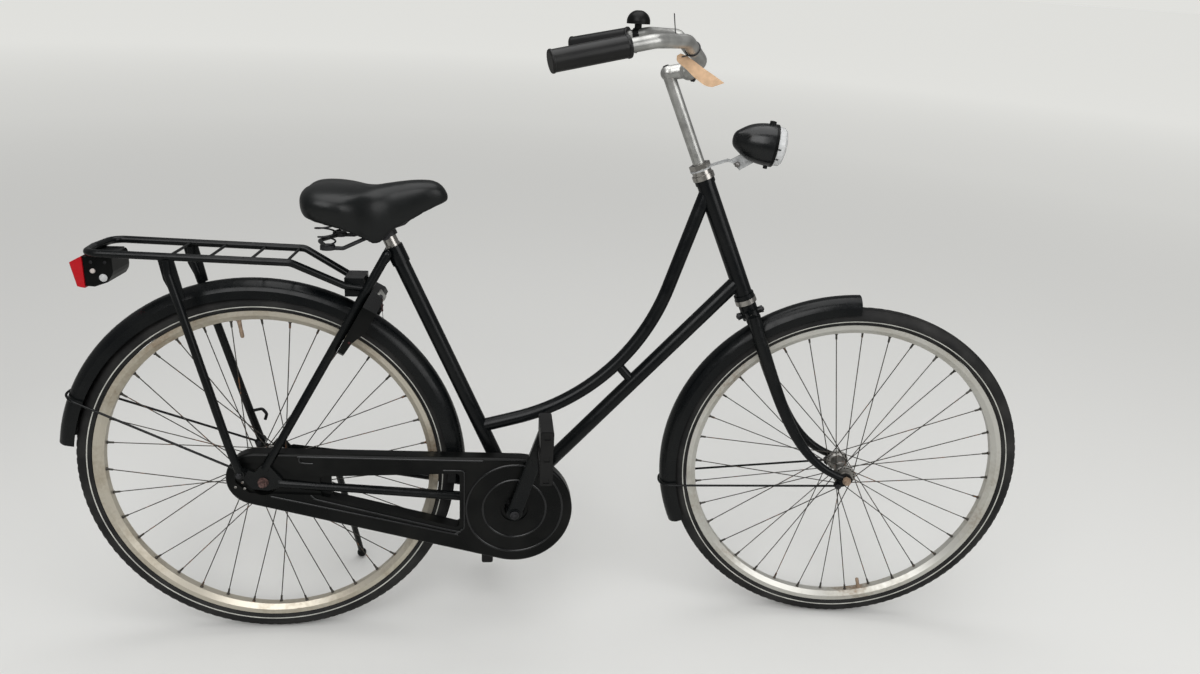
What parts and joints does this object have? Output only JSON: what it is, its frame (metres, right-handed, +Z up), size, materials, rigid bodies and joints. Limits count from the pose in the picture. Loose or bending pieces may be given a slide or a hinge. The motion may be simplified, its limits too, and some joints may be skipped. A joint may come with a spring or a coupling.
{
  "type": "city bicycle",
  "caption": "Low step-through city bicycle with full chaincase, mudguards, rear rack, lamps and ring lock, parked on its side stand with the wheel turned.",
  "frame": {"origin": "on the floor under the rear tyre's contact", "axes": "+X forward, +Y to the rider's left, +Z up"},
  "size_m": [1.8565, 0.5564, 1.1962],
  "materials": {
    "black_paint": "gloss",
    "black_plastic": "satin",
    "bright_steel": "worn",
    "steel": "worn",
    "alloy": "satin",
    "tyre_rubber": "matt",
    "grip_rubber": "matt",
    "saddle_cover": "satin",
    "clear_lens": "ribbed",
    "red_lens": "gloss"
  },
  "bodies": {
    "frame": {"head_tube": "black_paint", "seat_tube": "black_paint", "bb_cups": "steel", "down_tube": "black_paint", "loop_tube": "black_paint", "chainstay_right": "black_paint", "chainstay_left": "black_paint", "seatstay_right": "black_paint", "seatstay_left": "black_paint", "seat_post": "bright_steel", "saddle": "saddle_cover", "saddle_frame": "steel", "saddle_springs": "steel", "chaincase": "black_plastic", "chaincase_cover": "black_plastic", "rear_axle": "steel", "rack": "black_paint", "rack_leg_right": "black_paint", "rack_leg_left": "black_paint", "rear_lamp": "black_plastic", "rear_lamp_lens": "red_lens", "rear_mudguard": "black_paint", "rear_guard_stays": "black_paint", "ring_lock": "black_paint", "stand_mount": "black_paint", "seatstay_bridge": "black_paint", "chainstay_bridge": "black_paint", "headset_lower": "bright_steel", "headset_upper": "bright_steel"},
    "steering": {"fork": "black_paint", "locknut": "bright_steel", "stem": "bright_steel", "handlebar": "bright_steel", "grip_right": "grip_rubber", "grip_left": "grip_rubber", "bell": "black_plastic", "headlamp": "black_paint", "headlamp_lens": "clear_lens", "lamp_bracket": "black_paint", "front_mudguard": "black_paint", "front_guard_stays": "black_paint", "front_axle": "steel"},
    "front_wheel": {"front_tyre": "tyre_rubber", "front_rim": "alloy", "front_hub": "steel"},
    "rear_wheel": {"rear_tyre": "tyre_rubber", "rear_rim": "alloy", "rear_hub": "steel"},
    "crank": {"crankset": "black_paint"},
    "pedal_right": {"pedal_right": "grip_rubber"},
    "pedal_left": {"pedal_left": "grip_rubber"},
    "side_stand": {"side_stand": "black_paint"}
  },
  "joints": [
    {"name": "steering_turn", "type": "hinge", "parent": "frame", "child": "steering", "pos_m": [0.90029, 0.07188, 0.70285], "axis": [-0.4042, 0.0956, 0.9097], "range_deg": [-60, 78]},
    {"name": "front_wheel_spin", "type": "hinge", "parent": "steering", "child": "front_wheel", "pos_m": [1.13629, 0.02408, 0.34975], "axis": [0.1336, 0.99, -0.0447], "continuous": true},
    {"name": "rear_wheel_spin", "type": "hinge", "parent": "frame", "child": "rear_wheel", "pos_m": [0, 0.0346, 0.34819], "axis": [0, 0.9945, -0.1045], "continuous": true},
    {"name": "crank_spin", "type": "hinge", "parent": "frame", "child": "crank", "pos_m": [0.46604, 0.02836, 0.28883], "axis": [0, 0.9945, -0.1045], "continuous": true},
    {"name": "pedal_right_spin", "type": "hinge", "parent": "crank", "child": "pedal_right", "pos_m": [0.51846, -0.08402, 0.46325], "axis": [0, 0.9945, -0.1045], "continuous": true},
    {"name": "pedal_left_spin", "type": "hinge", "parent": "crank", "child": "pedal_left", "pos_m": [0.41362, 0.14074, 0.11441], "axis": [0, 0.9945, -0.1045], "continuous": true},
    {"name": "side_stand_fold", "type": "hinge", "parent": "frame", "child": "side_stand", "pos_m": [0.10402, 0.11066, 0.31613], "axis": [-0.0003, 0.9506, 0.3103], "range_deg": [0, 88]}
  ]
}
